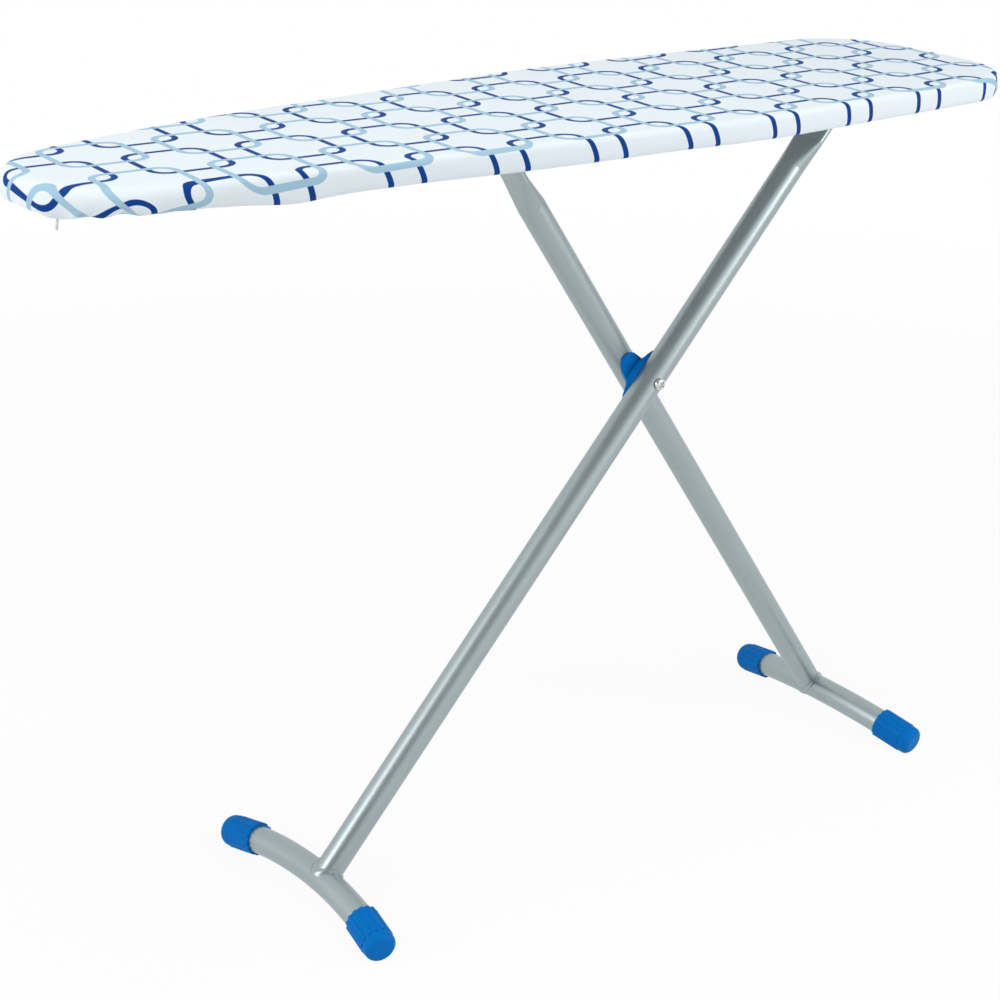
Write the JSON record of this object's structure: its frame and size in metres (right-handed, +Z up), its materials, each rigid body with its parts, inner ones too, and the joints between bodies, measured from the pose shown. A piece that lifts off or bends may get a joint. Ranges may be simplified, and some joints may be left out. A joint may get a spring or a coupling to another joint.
{
  "type": "ironing board",
  "caption": "Folding ironing board: padded tapered top with a printed cotton cover on crossed tube legs with bowed feet, plastic end caps and a height lock.",
  "frame": {"origin": "on the floor under the middle of the board", "axes": "+X along the board to its wide end, +Y away from the front leg's side, +Z up"},
  "size_m": [1.236, 0.3468, 0.8793],
  "materials": {
    "cotton_print": "woven cotton with a printed lattice",
    "foam": "soft open foam",
    "cord": "braided cord",
    "sheet_paint": "satin grey paint",
    "tube_paint": "satin silver paint",
    "zinc": "zinc plated",
    "black_plastic": "matte",
    "white_plastic": "matte",
    "blue_plastic": "satin"
  },
  "bodies": {
    "board": {"board_top": "sheet_paint", "foam_pad": "foam", "cover": "cotton_print", "drawcord_tail": "cord", "rail_near": "sheet_paint", "rail_far": "sheet_paint", "bracket_near": "sheet_paint", "bracket_far": "sheet_paint"},
    "front_leg": {"front_leg": "tube_paint", "front_rod": "zinc", "front_rod_caps": "black_plastic", "front_foot": "tube_paint", "front_weld": "tube_paint", "front_cap_near": "blue_plastic", "front_cap_far": "blue_plastic", "front_saddle": "blue_plastic", "pivot_bolt": "zinc", "pivot_nut": "zinc"},
    "rear_leg": {"rear_leg": "tube_paint", "rear_rod": "zinc", "rear_rod_caps": "black_plastic", "rear_foot": "tube_paint", "rear_weld": "tube_paint", "rear_cap_near": "blue_plastic", "rear_cap_far": "blue_plastic", "rear_saddle": "blue_plastic"},
    "carriage": {"glide_near": "white_plastic", "glide_far": "white_plastic"},
    "lever": {"lock_lever": "zinc", "lever_grip": "black_plastic"}
  },
  "joints": [
    {"name": "fold", "type": "hinge", "parent": "board", "child": "front_leg", "pos_m": [0.431, 0, 0.839], "axis": [0, 1, 0], "range_deg": [0, 47.54]},
    {"name": "leg_crossing", "type": "hinge", "parent": "front_leg", "child": "rear_leg", "pos_m": [0.162, 0, 0.5395], "axis": [0, 1, 0], "range_deg": [-99.93, 0]},
    {"name": "rod_in_glides", "type": "hinge", "parent": "rear_leg", "child": "carriage", "pos_m": [-0.046, 0, 0.839], "axis": [0, 1, 0], "range_deg": [0, 52.39]},
    {"name": "lock", "type": "hinge", "parent": "carriage", "child": "lever", "pos_m": [-0.046, 0, 0.839], "axis": [0, 1, 0], "range_deg": [0, 40]}
  ],
  "couplings": [
    {"joint": "leg_crossing", "follows": "fold", "ratio": -2.1},
    {"joint": "rod_in_glides", "follows": "fold", "ratio": 1.1}
  ]
}
